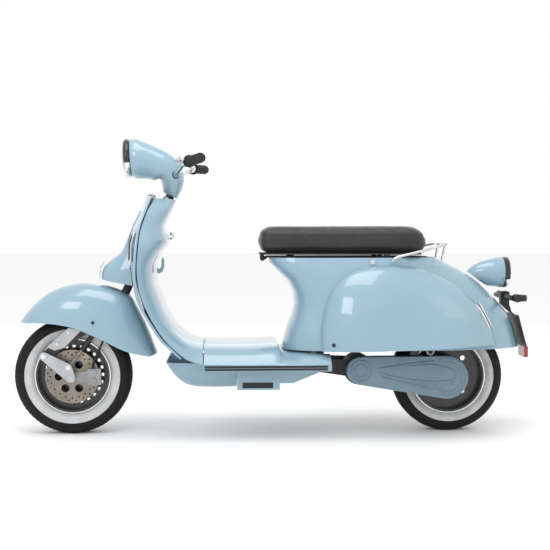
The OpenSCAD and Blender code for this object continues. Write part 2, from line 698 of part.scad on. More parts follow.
module rim_profile(bore, hub_r, hub_half) {
    w = rim_w / 2;
    polygon([[bore, -hub_half], [hub_r, -hub_half], [hub_r, -rim_wall],
        [bead_r - rim_wall, -rim_wall], [bead_r - rim_wall, -w], [bead_r + 6, -w],
        [bead_r + 6, -w + 4], [bead_r, -w + 4], [bead_r, w - 4], [bead_r + 6, w - 4],
        [bead_r + 6, w], [bead_r - rim_wall, w], [bead_r - rim_wall, rim_wall],
        [hub_r, rim_wall], [hub_r, hub_half], [bore, hub_half]]);
}
module front_rim() {
    color(black) difference() {
        union() {
            spun_y(front_axle) rim_profile(axle_r + run_fit, 22, 45);
            pin_y(front_axle, 34, -disc_y + disc_t / 2 + 0.1, -40);
        }
        pin_y(front_axle, axle_r + run_fit, -70, 70);
        for (k = [0:23]) translate([front_x, 0, front_r]) rotate([0, 15 * k, 0])
            translate([102, 20, 0]) rotate([90, 0, 0]) cylinder(h = 40, r = 6);
    }
}
module front_disc() {
    color(silver) translate([front_x, -disc_y + disc_t / 2, front_r]) rotate([90, 0, 0])
        difference() {
            cylinder(h = disc_t, r = disc_r, $fn = 96);
            translate([0, 0, -1]) cylinder(h = disc_t + 2, r = 14);
            for (k = [0:5]) rotate(60 * k) translate([47, 0, -1]) cylinder(h = 9, r = 14);
            for (k = [0:19], j = [0:1]) rotate(18 * k + 9 * j)
                translate([disc_r - 19 + 10 * j, 0, -1]) cylinder(h = 9, r = 3);
        }
}
// Damper axis frame: origin at its fixed eye, Z towards its other end
module damper_axis(top, foot, y) {
    d = foot - top;
    translate([top[0], y, top[1]]) rotate([0, 90 - atan2(d[1], d[0]), 0]) children();
}
module eye(r, bore, w) {
    rotate([90, 0, 0]) difference() {
        translate([0, 0, -w / 2]) cylinder(h = w, r = r);
        translate([0, 0, -w / 2 - 1]) cylinder(h = w + 2, r = bore);
    }
}
front_damper_l = norm(damper_foot - damper_top);
rear_damper_l = norm(rear_damper_foot - rear_damper_top);
module front_damper_bodies() {
    color(black) both_sides() damper_axis(damper_top, damper_foot, fork_y) difference() {
        union() {
            translate([0, 0, 8]) cylinder(h = front_damper_l - 78, r = 9);
            rotate([90, 0, 0]) translate([0, 0, -7]) cylinder(h = 14, r = 11);
        }
        rotate([90, 0, 0]) translate([0, 0, -9]) cylinder(h = 18, r = 5 + run_fit);
        translate([0, 0, 20]) cylinder(h = front_damper_l, r = 6.5);
    }
}
module front_damper_rods() {
    color(chrome) both_sides() damper_axis(damper_top, damper_foot, fork_y) {
        translate([0, 0, 74]) cylinder(h = front_damper_l - 83, r = 4.5);
        translate([0, 0, 66]) cylinder(h = 10, r = 6.5 - run_fit);
        translate([0, 0, front_damper_l]) eye(12, foot_pin_r + eye_slack, 14);
    }
}

// Drive and rear wheel
module swing_arm() {
    foot = rear_damper_foot;
    color(black) difference() {
        union() {
            both_sides() {
                plate_y(arm_y, arm_y + arm_t) {
                    hull() {
                        translate(swing_pivot) circle(r = 22);
                        translate(motor_at) circle(r = 30);
                    }
                    hull() {
                        translate(motor_at) circle(r = 30);
                        translate(rear_axle_at) circle(r = 28);
                    }
                    hull() {
                        translate(foot) circle(r = 12);
                        translate([foot[0] + 20, 215]) circle(r = 24);
                    }
                }
                pin_y(foot, 6, arm_y + arm_t - 1, 108);
                pin_y(swing_pivot, 18, -1, arm_y + 1);
                pin_y([sx(388), 222], 12, -1, arm_y + 1);
            }
            plate_y(-arm_y - arm_t, -arm_y) translate(motor_at) circle(r = cover_r1 + 6);
        }
        pin_y(swing_pivot, 9 + run_fit, -90, 90);
        pin_y(rear_axle_at, shaft_r + run_fit, -90, 90);
        pin_y(motor_at, 14, -90, -50);
        pin_y(motor_at, 16, 50, 90);
    }
}
module drive_motor() {
    color(silver) difference() {
        union() {
            pin_y(motor_at, 46, -arm_y + 0.3, 44);
            for (k = [0:6]) pin_y(motor_at, 50, -50 + 13 * k, -44 + 13 * k);
        }
        pin_y(motor_at, 8 + run_fit, -70, -28);
    }
}
module cover_outline(grow) {
    hull() {
        translate(motor_at) circle(r = cover_r1 + grow);
        translate([rear_axle_at[0] - 22, 203]) circle(r = cover_r2 + grow);
    }
}
module drive_cover() {
    color(shell_blue) difference() {
        plate_y(-cover_out, -cover_in) cover_outline(0);
        plate_y(-cover_out + skin_t, -cover_in + 1) cover_outline(-skin_t);
    }
}
module drive_belt() {
    color(black) plate_y(-belt_y - belt_w, -belt_y) difference() {
        hull() {
            translate(motor_at) circle(r = pulley_r1 + belt_t);
            translate(rear_axle_at) circle(r = pulley_r2 + belt_t);
        }
        hull() {
            translate(motor_at) circle(r = pulley_r1 + 0.3);
            translate(rear_axle_at) circle(r = pulley_r2 + 0.3);
        }
    }
}
module motor_pulley() {
    color(silver) {
        pin_y(motor_at, 8, -belt_y - belt_w - 2, -29);
        pin_y(motor_at, pulley_r1, -belt_y - belt_w, -belt_y);
    }
}
module rear_output_shaft() {
    color(silver) {
        pin_y(rear_axle_at, shaft_r, -belt_y - belt_w - 4, arm_y + arm_t + 6);
        difference() {
            pin_y(rear_axle_at, pulley_r2, -belt_y - belt_w, -belt_y);
            for (k = [0:5]) translate([rear_x + 27 * cos(60 * k), 0, rear_r + 27 * sin(60 * k)])
                pin_y([0, 0], 8, -belt_y - belt_w - 1, -belt_y + 1);
        }
    }
}
module rear_drum_plate() {
    color(black) difference() {
        union() {
            pin_y(rear_axle_at, 62, 44, arm_y - 0.3);
            plate_y(52, arm_y - 0.3) hull() {
                translate(rear_axle_at) circle(r = 20);
                translate(rear_axle_at + [-30, -76]) circle(r = 8);
            }
        }
        pin_y(rear_axle_at, shaft_r + run_fit, 40, 70);
    }
}
module rear_rim() {
    color(black) difference() {
        spun_y(rear_axle_at) rim_profile(shaft_r, 30, 40);
        for (k = [0:3]) translate([rear_x, 0, rear_r]) rotate([0, 45 + 90 * k, 0])
            translate([84, 20, 0]) rotate([90, 0, 0]) cylinder(h = 40, r = 9);
    }
}

// Saddle
seat_rings = [[0, 60, 24, 64], [6, 86, 6, 80], [21, 98, 1, 88], [61, 106, 0, 91],
    [211, 118, 0, 91], [411, 131, 0, 92], [540, 130, 0, 91], [582, 116, 2, 82],
    [600, 94, 10, 64], [608, 66, 20, 48]];
module seat_cushion() {
    x0 = sx(-61);
    rings = [for (r = sampled(seat_rings, 30)) let (
            c = 636 + (r[2] + r[3]) / 2 * seat_h / 88, h = (r[3] - r[2]) / 2 * seat_h / 88)
        [for (j = [0:31]) let (q = 360 * j / 32)
            [x0 + r[0] * seat_l / 608,
             r[1] * seat_w / 262 * sign(cos(q)) * pow(abs(cos(q)), 0.45),
             c + h * sign(sin(q)) * pow(abs(sin(q)), 0.45)]]];
    color([0.2, 0.2, 0.21]) lofted(rings);
}
module seat_pan() {
    w = seat_w / 2;
    half = [[-50, w - 50], [0, w - 34], [150, w - 22], [350, w - 10], [480, w - 12], [515, w - 40]];
    color(black) {
        translate([0, 0, 630]) linear_extrude(5.6) polygon([for (p = concat(half,
            [for (k = [len(half) - 1:-1:0]) [half[k][0], -half[k][1]]])) [sx(p[0]), p[1]]]);
        difference() {
            union() {
                pin_y(seat_hinge, 7, -23.6, 23.6);
                translate([seat_hinge[0] - 7, -23.6, seat_hinge[1]]) cube([14, 47.2, 17]);
            }
            pin_y(seat_hinge, 4, -40, 40);
        }
        pin_y(seat_hinge, 4, -33, 33);
        for (x = [60, 370], y = [-70, 70]) translate([sx(x), y, 624.3]) cylinder(h = 6, r = 9);
    }
}
module centre_stand() {
    a = [stand_pivot[0], 74, stand_pivot[1]];
    b = a + [stand_leg, 0, 4];
    color(black) difference() {
        union() {
            both_sides() {
                pin_y(stand_pivot, 12, 69, 83);
                rod(a, b, 9);
                translate(b - [14, 8, 6]) cube([20, 16, 10]);
            }
            pin_y([a[0] + 60, a[2] + 1.3], 8, -76, 76);
        }
        pin_y(stand_pivot, 6 + run_fit, -90, 90);
    }
}

frame();
head_bearings();
leg_shield();
knee_panel();
horn_cover();
front_trim();
side_signals();
floor_board();
floor_strips();
under_cover();
rear_body();
cowl_left();
cowl_right();
storage_bucket();
battery();
motor_controller();
tail_lamp_shell();
tail_lamp_ring();
tail_lamp_lens();
plate_holder();
tail_signals();
rear_reflector();
grab_rail();
rear_damper_bodies();
bag_hook();
seat_lock();
ignition_switch();
steering_fork();
front_fender();
headset();
headlamp_ring();
headlamp_lens();
handlebar();
left_grip();
control_perches();
fork_covers();
throttle_grip();
left_brake_lever();
right_brake_lever();
front_link();
front_caliper();
brake_hose();
front_tyre();
front_rim();
front_disc();
front_damper_bodies();
front_damper_rods();
swing_arm();
drive_motor();
drive_cover();
drive_belt();
motor_pulley();
rear_drum_plate();
rear_tyre();
rear_rim();
rear_output_shaft();
rear_damper_rods();
seat_cushion();
seat_pan();
centre_stand();
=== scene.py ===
import math
import bmesh
import bpy
from mathutils import Matrix, Vector


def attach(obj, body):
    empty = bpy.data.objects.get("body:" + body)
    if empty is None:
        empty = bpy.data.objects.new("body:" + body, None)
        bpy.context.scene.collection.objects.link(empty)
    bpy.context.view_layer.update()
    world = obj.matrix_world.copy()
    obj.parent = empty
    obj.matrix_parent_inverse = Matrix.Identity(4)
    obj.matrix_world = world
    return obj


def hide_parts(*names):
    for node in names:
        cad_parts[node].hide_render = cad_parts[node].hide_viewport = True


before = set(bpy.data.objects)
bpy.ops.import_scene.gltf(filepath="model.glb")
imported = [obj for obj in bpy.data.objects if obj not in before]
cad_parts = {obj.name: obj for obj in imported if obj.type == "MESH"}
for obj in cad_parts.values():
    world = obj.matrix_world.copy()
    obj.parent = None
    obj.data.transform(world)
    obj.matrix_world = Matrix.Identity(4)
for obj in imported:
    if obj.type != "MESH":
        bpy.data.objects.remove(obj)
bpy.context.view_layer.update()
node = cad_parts

# --- Stage -------------------------------------------------------------------------------
# A pale matt floor under soft, even studio light. The camera stands at the rider's left,
# a little over knee height.


def hex_colour(code):
    """An sRGB hex colour as linear RGBA."""
    parts = [int(code[k:k + 2], 16) / 255 for k in (0, 2, 4)]
    return tuple(p / 12.92 if p < 0.04045 else ((p + 0.055) / 1.055) ** 2.4 for p in parts) + (1,)


def add(tree, kind, inputs=None, **settings):
    """A new node with its settings; an input takes a value or another node's output."""
    new = tree.nodes.new(kind)
    for key, value in settings.items():
        setattr(new, key, value)
    for key, value in (inputs or {}).items():
        if isinstance(value, bpy.types.NodeSocket):
            tree.links.new(value, new.inputs[key])
        else:
            new.inputs[key].default_value = value
    return new


def start_material(name):
    """An empty material with its tree and Object coordinates."""
    material = bpy.data.materials.new(name)
    material.use_nodes = True
    material.node_tree.nodes.clear()
    place = add(material.node_tree, "ShaderNodeTexCoord").outputs["Object"]
    return material, material.node_tree, place


def end_material(material, surface):
    out = add(material.node_tree, "ShaderNodeOutputMaterial")
    material.node_tree.links.new(surface, out.inputs["Surface"])
    return material


scene = bpy.context.scene
studio_white, tree, place = start_material("matt_studio_floor")
speckle = add(tree, "ShaderNodeTexNoise", {"Vector": place, "Scale": 3.0, "Detail": 2.0})
tone = add(tree, "ShaderNodeMapRange", {"Value": speckle.outputs["Fac"], "To Min": 0.93, "To Max": 0.95})
shade = add(tree, "ShaderNodeCombineColor", {"Red": tone.outputs[0], "Green": tone.outputs[0],
                                             "Blue": tone.outputs[0]})
paper = add(tree, "ShaderNodeBsdfPrincipled", {"Base Color": shade.outputs[0], "Roughness": 0.9,
                                               "Specular IOR Level": 0.1})
end_material(studio_white, paper.outputs[0])
floor_mesh = bpy.data.meshes.new("studio_floor")
floor_mesh.from_pydata([(-30, -30, 0), (30, -30, 0), (30, 30, 0), (-30, 30, 0)], [], [(0, 1, 2, 3)])
studio_floor = bpy.data.objects.new("studio_floor", floor_mesh)
studio_floor.data.materials.append(studio_white)
scene.collection.objects.link(studio_floor)

scene.world = bpy.data.worlds.new("soft_daylight")
scene.world.use_nodes = True
scene.world.node_tree.nodes["Background"].inputs["Color"].default_value = (1, 1, 1, 1)
scene.world.node_tree.nodes["Background"].inputs["Strength"].default_value = 1.0
scene.view_settings.view_transform = "Standard"

for label, spot, size, power in (
        ("overhead_softbox", (-0.3, -0.9, 3.2), 1.8, 34),
        ("near_softbox", (-1.8, -3.2, 2.2), 1.2, 22),
        ("rear_softbox", (2.6, -1.6, 2.0), 1.2, 3),
        ("far_softbox", (0.2, 3.0, 2.4), 2.4, 12)):
    lamp = bpy.data.lights.new(label, "AREA")
    lamp.size = size
    lamp.energy = power
    light = bpy.data.objects.new(label, lamp)
    light.location = spot
    light.rotation_euler = (Vector((0, 0, 0.5)) - Vector(spot)).to_track_quat("-Z", "Y").to_euler()
    scene.collection.objects.link(light)

camera_data = bpy.data.cameras.new("camera")
camera_data.lens = 68.9
camera_data.sensor_width = 36
camera = bpy.data.objects.new("camera", camera_data)
camera.location = (-0.170, -3.74, 0.713)
camera.rotation_euler = (math.radians(90 - 2.4), 0, math.radians(-2.7))
scene.collection.objects.link(camera)
scene.camera = camera

# --- Frame, fork and running gear ------------------------------------------------------------
# Welded steel tube and stamped plate, powder coated black after welding, so its edges stay
# soft and its skin has the fine pebble of baked powder.


def bumped(tree, place, scale, strength, distance=0.0004, detail=2.0):
    """A fine grain for a shader's Normal."""
    grain = add(tree, "ShaderNodeTexNoise", {"Vector": place, "Scale": scale, "Detail": detail})
    return add(tree, "ShaderNodeBump", {"Height": grain.outputs["Fac"], "Strength": strength,
                                        "Distance": distance}).outputs[0]


def varied(tree, place, scale, low, high):
    """A value that wanders softly over the piece between two limits."""
    drift = add(tree, "ShaderNodeTexNoise", {"Vector": place, "Scale": scale, "Detail": 3.0})
    return add(tree, "ShaderNodeMapRange", {"Value": drift.outputs["Fac"], "From Min": 0.3,
                                            "From Max": 0.7, "To Min": low, "To Max": high}).outputs[0]


def tinted(tree, place, scale, first, second):
    """A colour that wanders softly between two hex colours."""
    drift = add(tree, "ShaderNodeTexNoise", {"Vector": place, "Scale": scale, "Detail": 4.0})
    ramp = add(tree, "ShaderNodeValToRGB", {"Fac": drift.outputs["Fac"]})
    ramp.color_ramp.elements[0].position, ramp.color_ramp.elements[1].position = 0.35, 0.65
    ramp.color_ramp.elements[0].color = hex_colour(first)
    ramp.color_ramp.elements[1].color = hex_colour(second)
    return ramp.outputs["Color"]


powder_black, tree, place = start_material("powder_coated_steel")
end_material(powder_black, add(tree, "ShaderNodeBsdfPrincipled", {
    "Base Color": tinted(tree, place, 14, "17181A", "202124"),
    "Roughness": varied(tree, place, 30, 0.38, 0.52),
    "Normal": bumped(tree, place, 900, 0.25)}).outputs[0])


def finish(names, material):
    """Gives CAD nodes a material and smooth shading that keeps their real edges."""
    for name in names.split():
        piece = node[name]
        piece.data.materials.clear()
        piece.data.materials.append(material)
        for face in piece.data.polygons:
            face.use_smooth = True
            face.material_index = 0
        weld = piece.modifiers.new("weld", "WELD")
        weld.merge_threshold = 0.00002
        split = piece.modifiers.new("edges", "EDGE_SPLIT")
        split.split_angle = math.radians(32)


finish("frame steering_fork swing_arm centre_stand front_damper_bodies rear_damper_bodies",
       powder_black)

# Bearing races, damper rods, shafts and the brake disc are ground or pressed steel. The disc
# has browned a little from heat, and its face shows fine turning marks.
ground_steel, tree, place = start_material("ground_steel")
end_material(ground_steel, add(tree, "ShaderNodeBsdfPrincipled", {
    "Base Color": tinted(tree, place, 40, "8E8B85", "A7A39B"), "Metallic": 1.0,
    "Roughness": varied(tree, place, 120, 0.22, 0.36),
    "Normal": bumped(tree, place, 1400, 0.15)}).outputs[0])
finish("head_bearings front_damper_rods rear_damper_rods rear_output_shaft motor_pulley", ground_steel)

disc_steel, tree, place = start_material("heat_browned_disc_steel")
end_material(disc_steel, add(tree, "ShaderNodeBsdfPrincipled", {
    "Base Color": tinted(tree, place, 25, "837B72", "968E84"), "Metallic": 0.9,
    "Roughness": varied(tree, place, 200, 0.30, 0.44),
    "Normal": bumped(tree, place, 1600, 0.2)}).outputs[0])
finish("front_disc", disc_steel)

# Die-cast aluminium, tumbled and left bare: the caliper, motor, controller and drum plate.
cast_aluminium, tree, place = start_material("cast_aluminium")
end_material(cast_aluminium, add(tree, "ShaderNodeBsdfPrincipled", {
    "Base Color": tinted(tree, place, 30, "8D8F91", "A3A5A7"), "Metallic": 0.85,
    "Roughness": varied(tree, place, 60, 0.42, 0.58),
    "Normal": bumped(tree, place, 700, 0.35)}).outputs[0])
finish("front_caliper drive_motor motor_controller rear_drum_plate", cast_aluminium)

# --- Wheels ----------------------------------------------------------------------------------
# Pressed steel rims in gloss black, with tubeless scooter tyres. Each tyre has a moulded
# white band on both walls and short blocks across its crown.
rim_black, tree, place = start_material("gloss_black_stove_enamel")
end_material(rim_black, add(tree, "ShaderNodeBsdfPrincipled", {
    "Base Color": tinted(tree, place, 20, "101113", "191A1C"),
    "Roughness": varied(tree, place, 60, 0.22, 0.32), "Coat Weight": 0.4, "Coat Roughness": 0.1,
    "Normal": bumped(tree, place, 500, 0.06)}).outputs[0])
finish("front_rim rear_rim", rim_black)

tyre_rubber, tree, place = start_material("vulcanised_tyre_rubber")
end_material(tyre_rubber, add(tree, "ShaderNodeBsdfPrincipled", {
    "Base Color": tinted(tree, place, 35, "0C0C0D", "141415"),
    "Roughness": varied(tree, place, 80, 0.62, 0.78), "Specular IOR Level": 0.3,
    "Normal": bumped(tree, place, 1100, 0.35)}).outputs[0])

white_rubber, tree, place = start_material("white_sidewall_rubber")
end_material(white_rubber, add(tree, "ShaderNodeBsdfPrincipled", {
    "Base Color": tinted(tree, place, 22, "B4B5B6", "C6C7C8"),
    "Roughness": varied(tree, place, 60, 0.50, 0.64),
    "Normal": bumped(tree, place, 800, 0.2)}).outputs[0])


def mesh_piece(name, points, faces, material, smooth_angle=32):
    """A mesh object at the origin, with its doubles merged, its faces turned outwards and
    its real edges kept sharp."""
    mesh = bpy.data.meshes.new(name)
    mesh.from_pydata([tuple(p) for p in points], [], faces)
    work = bmesh.new()
    work.from_mesh(mesh)
    bmesh.ops.remove_doubles(work, verts=work.verts, dist=0.00001)
    bmesh.ops.recalc_face_normals(work, faces=work.faces)
    work.to_mesh(mesh)
    work.free()
    for face in mesh.polygons:
        face.use_smooth = True
    mesh.set_sharp_from_angle(angle=math.radians(smooth_angle))
    mesh.materials.append(material)
    piece = bpy.data.objects.new(name, mesh)
    scene.collection.objects.link(piece)
    return piece


def spun(profile, centre, steps):
    """Points and faces of a closed (radius, y) profile turned about an axle along Y."""
    count = len(profile)
    points = [(centre[0] + r * math.cos(2 * math.pi * k / steps), y,
               centre[2] + r * math.sin(2 * math.pi * k / steps))
              for k in range(steps) for r, y in profile]
    faces = [(k * count + j, k * count + (j + 1) % count,
              (k + 1) % steps * count + (j + 1) % count, (k + 1) % steps * count + j)
             for k in range(steps) for j in range(count)]
    return points, faces


def smooth_line(points, per_span):
    """A Catmull-Rom curve through points of any length, as a list of tuples."""
    out = []
    for i in range(len(points) - 1):
        a, b = points[max(i - 1, 0)], points[i]
        c, d = points[i + 1], points[min(i + 2, len(points) - 1)]
        for k in range(per_span):
            f = k / per_span
            out.append(tuple(0.5 * (2 * q + (r - p) * f + (2 * p - 5 * q + 4 * r - s) * f * f
                                    + (3 * q - p - 3 * r + s) * f ** 3)
                             for p, q, r, s in zip(a, b, c, d)))
    return out + [tuple(points[-1])]


def tread_tree(material):
    """Geometry Nodes: rows of skewed blocks round a tyre's crown."""
    group = bpy.data.node_groups.new("tread_blocks", "GeometryNodeTree")
    face = group.interface
    for label, kind in (("Radius", "NodeSocketFloat"), ("Offset", "NodeSocketFloat"),
                        ("Length", "NodeSocketFloat"), ("Width", "NodeSocketFloat"),
                        ("Height", "NodeSocketFloat"), ("Skew", "NodeSocketFloat"),
                        ("Count", "NodeSocketInt"), ("Tilt", "NodeSocketFloat")):
        face.new_socket(label, in_out="INPUT", socket_type=kind)
    face.new_socket("Geometry", in_out="OUTPUT", socket_type="NodeSocketGeometry")
    given = add(group, "NodeGroupInput")
    ring = add(group, "GeometryNodeMeshCircle", {"Vertices": given.outputs["Count"],
                                                 "Radius": given.outputs["Radius"]})
    size = add(group, "ShaderNodeCombineXYZ", {"X": given.outputs["Height"],
                                               "Y": given.outputs["Length"], "Z": given.outputs["Width"]})
    block = add(group, "GeometryNodeMeshCube", {"Size": size.outputs[0]})
    spot = add(group, "GeometryNodeInputPosition")
    turn = add(group, "FunctionNodeAlignRotationToVector", {"Vector": spot.outputs[0]}, axis="X",
               pivot_axis="Z")
    lean = add(group, "ShaderNodeCombineXYZ", {"X": given.outputs["Skew"], "Y": given.outputs["Tilt"]})
    lean_turn = add(group, "FunctionNodeEulerToRotation", {"Euler": lean.outputs[0]})
    both = add(group, "FunctionNodeRotateRotation", {"Rotation": turn.outputs[0],
                                                     "Rotate By": lean_turn.outputs[0]},
               rotation_space="LOCAL")
    copies = add(group, "GeometryNodeInstanceOnPoints", {"Points": ring.outputs["Mesh"],
                                                         "Instance": block.outputs["Mesh"],
                                                         "Rotation": both.outputs[0]})
    shift = add(group, "ShaderNodeCombineXYZ", {"Z": given.outputs["Offset"]})
    moved = add(group, "GeometryNodeTransform", {"Geometry": copies.outputs[0],
                                                 "Translation": shift.outputs[0]})
    real = add(group, "GeometryNodeRealizeInstances", {"Geometry": moved.outputs[0]})
    done = add(group, "GeometryNodeSetMaterial", {"Geometry": real.outputs[0], "Material": material})
    out = add(group, "NodeGroupOutput")
    group.links.new(done.outputs[0], out.inputs["Geometry"])
    return group


def made_by_nodes(name, group, values):
    """Runs a Geometry Nodes tree with named inputs and returns its plain mesh object."""
    holder = bpy.data.objects.new(name + "_maker", bpy.data.meshes.new(name + "_maker"))
    scene.collection.objects.link(holder)
    maker = holder.modifiers.new("make", "NODES")
    maker.node_group = group
    for item in group.interface.items_tree:
        if item.in_out == "INPUT" and item.name in values:
            maker[item.identifier] = values[item.name]
    bpy.context.view_layer.update()
    mesh = bpy.data.meshes.new_from_object(
        holder.evaluated_get(bpy.context.evaluated_depsgraph_get()))
    mesh.name = name
    bpy.data.objects.remove(holder)
    piece = bpy.data.objects.new(name, mesh)
    scene.collection.objects.link(piece)
    return piece


def join_pieces(name, parts):
    """One object from several meshes that are the same piece."""
    work = bmesh.new()
    for part in parts:
        work.from_mesh(part.data)
    mesh = bpy.data.meshes.new(name)
    work.to_mesh(mesh)
    work.free()
    for material in parts[0].data.materials:
        mesh.materials.append(material)
    for part in parts:
        bpy.data.objects.remove(part)
    piece = bpy.data.objects.new(name, mesh)
    scene.collection.objects.link(piece)
    return piece


tread = tread_tree(tyre_rubber)
for end, body, axle, radius in (("front", "front_wheel", Vector((-0.705, 0, 0.205)), 0.205),
                                ("rear", "rear_wheel", Vector((0.622, 0, 0.197)), 0.197)):
    wall = [(0.1285, 0.0336), (0.135, 0.0345), (0.146, 0.0445), (radius * 0.83, 0.0492),
            (radius - 0.020, 0.0470), (radius - 0.009, 0.0385), (radius - 0.0035, 0.026),
            (radius - 0.0022, 0.010)]
    half = smooth_line(wall, 5)
    profile = half + [(r, -y) for r, y in reversed(half)]
    carcass = mesh_piece(end + "_carcass", *spun(profile, axle, 128), tyre_rubber)
    rows = []
    for number, (side, offset, height, tilt) in enumerate(
            ((1, 0.010, 0.0046, 0.0), (-1, 0.010, 0.0046, 0.0),
             (1, 0.0285, 0.0050, 0.42), (-1, 0.0285, 0.0050, 0.42))):
        outer = offset > 0.02
        row = made_by_nodes(end + "_row_%d" % number, tread, {
            "Radius": radius - (0.0056 if outer else 0.0024), "Offset": offset * side,
            "Length": 0.0125, "Width": 0.0145 if outer else 0.0155, "Height": height,
            "Skew": 0.45 * side, "Count": 72, "Tilt": -tilt * side if outer else 0.0})
        row.data.transform(Matrix.Translation(axle) @ Matrix.Rotation(math.radians(90), 4, "X"))
        if side < 0:
            row.data.transform(Matrix.Translation(axle) @ Matrix.Rotation(math.radians(2.5), 4, "Y")
                               @ Matrix.Translation(-axle))
        rows.append(row)
    blocks = join_pieces(end + "_tread", rows)
    for vertex in blocks.data.vertices:
        away = vertex.co - Vector((axle.x, vertex.co.y, axle.z))
        if away.length > radius - 0.0002:
            vertex.co -= away.normalized() * (away.length - radius + 0.0002)
    # A thin black ring on the far side of each rim's disc is painted shade: it darkens the vents from
    # behind, and the real wheel has no such ring.
    rim = node[end + "_rim"]
    back = [rim.ray_cast(axle + Vector((0.113 * math.cos(k), 0.2, 0.113 * math.sin(k))), Vector((0, -1, 0)))
            for k in range(24)]
    behind = max(spot.y for hit, spot, _, _ in back if hit) + 0.0008
    # Black ring behind the vents: painted shade standing in for the dark inside of the wheel, not a real
    # part.
    shield = mesh_piece(end + "_vent_shade_ring", *spun([(0.104, behind), (0.1245, behind),
                                                     (0.1245, behind + 0.001), (0.104, behind + 0.001)],
                                                    axle, 96), rim_black)
    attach(shield, body)
    bands = []
    shown = [(r, y) for r, y in half if 0.1325 < r < radius * 0.815]
    for side in (-1, 1):
        band = ([(r, y + 0.0008) for r, y in shown] + [(shown[-1][0] + 0.0008, shown[-1][1])]
                + [(r, y - 0.0012) for r, y in reversed(shown)])
        bands.append(mesh_piece(end + "_band", *spun([(r, y * side) for r, y in band], axle, 128),
                                white_rubber, 50))
    whitewall = join_pieces(end + "_whitewalls", bands)
    whitewall.data.set_sharp_from_angle(angle=math.radians(50))
    for piece in (carcass, blocks, whitewall):
        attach(piece, body)
    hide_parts(end + "_tyre")

# --- Bodywork --------------------------------------------------------------------------------
# Moulded panels sprayed in pale blue two-pack enamel under a clear coat, polished to a deep
# gloss. The lacquer has a faint orange peel.
blue_enamel, tree, place = start_material("pastel_blue_enamel")
end_material(blue_enamel, add(tree, "ShaderNodeBsdfPrincipled", {
    "Base Color": tinted(tree, place, 3, "83A2B2", "89A8B8"),
    "Roughness": varied(tree, place, 8, 0.28, 0.36), "Coat Weight": 1.0, "Coat Roughness": 0.04,
    "Normal": bumped(tree, place, 220, 0.02, 0.0002)}).outputs[0])
finish("leg_shield knee_panel horn_cover floor_board under_cover rear_body cowl_left cowl_right "
       "tail_lamp_shell bag_hook front_fender headset", blue_enamel)

# The drive cover is moulded polypropylene in a greyer blue, with a low sheen.
cover_blue, tree, place = start_material("moulded_cover_plastic")
end_material(cover_blue, add(tree, "ShaderNodeBsdfPrincipled", {
    "Base Color": tinted(tree, place, 10, "67808D", "6F8895"),
    "Roughness": varied(tree, place, 40, 0.34, 0.44),
    "Normal": bumped(tree, place, 600, 0.12)}).outputs[0])
finish("drive_cover", cover_blue)

# --- Rubber and black mouldings --------------------------------------------------------------
# Grips, floor strips, hose and belt are matt rubber; hidden boxes and brackets are ABS with a
# spark-eroded grain.
soft_rubber, tree, place = start_material("matt_black_rubber")
end_material(soft_rubber, add(tree, "ShaderNodeBsdfPrincipled", {
    "Base Color": tinted(tree, place, 40, "161617", "212122"),
    "Roughness": varied(tree, place, 90, 0.60, 0.74),
    "Normal": bumped(tree, place, 1500, 0.3)}).outputs[0])
finish("left_grip throttle_grip floor_strips brake_hose drive_belt", soft_rubber)

grained_abs, tree, place = start_material("grained_black_abs")
end_material(grained_abs, add(tree, "ShaderNodeBsdfPrincipled", {
    "Base Color": tinted(tree, place, 20, "141416", "1D1D1F"),
    "Roughness": varied(tree, place, 70, 0.42, 0.55),
    "Normal": bumped(tree, place, 1300, 0.35)}).outputs[0])
finish("storage_bucket battery plate_holder tail_signals seat_pan", grained_abs)

# --- Bright trim -----------------------------------------------------------------------------
# Steel trim, handlebar, levers and rail are plated in nickel and chromium and mirror bright.
# The front links and fork covers are sprayed in silver lacquer instead.
chromium, tree, place = start_material("chromium_plate")
end_material(chromium, add(tree, "ShaderNodeBsdfPrincipled", {
    "Base Color": tinted(tree, place, 12, "D2D4D6", "DCDEE0"), "Metallic": 1.0,
    "Roughness": varied(tree, place, 90, 0.06, 0.12),
    "Normal": bumped(tree, place, 500, 0.03)}).outputs[0])
finish("front_trim grab_rail seat_lock ignition_switch "
       "handlebar control_perches left_brake_lever right_brake_lever", chromium)

silver_lacquer, tree, place = start_material("silver_wheel_lacquer")
end_material(silver_lacquer, add(tree, "ShaderNodeBsdfPrincipled", {
    "Base Color": tinted(tree, place, 18, "A9ABAD", "B7B9BB"), "Metallic": 0.6,
    "Roughness": varied(tree, place, 90, 0.30, 0.38), "Coat Weight": 0.5,
    "Normal": bumped(tree, place, 900, 0.12)}).outputs[0])
finish("fork_covers front_link", silver_lacquer)


def shield_face(z, y):
    """Where the leg shield's front face stands at a height, a distance y from its middle."""
    levels = [(836, -418, 60, 26), (825, -426, 100, 25), (775, -443, 165, 22), (730, -457, 205, 33),
              (672, -466, 228, 40), (587, -472, 237, 28), (512, -468, 238, 20), (461, -452, 237, 10),
              (408, -423, 235, 0), (349, -385, 232, -18), (321, -357, 230, -24), (284, -319, 228, -20)]
    for high, low in zip(levels, levels[1:]):
        if low[0] <= z <= high[0]:
            f = (z - low[0]) / (high[0] - low[0])
            edge, half, bulge = (low[k] + f * (high[k] - low[k]) for k in (1, 2, 3))
            return edge - bulge * (1 - (y / half) ** 2)


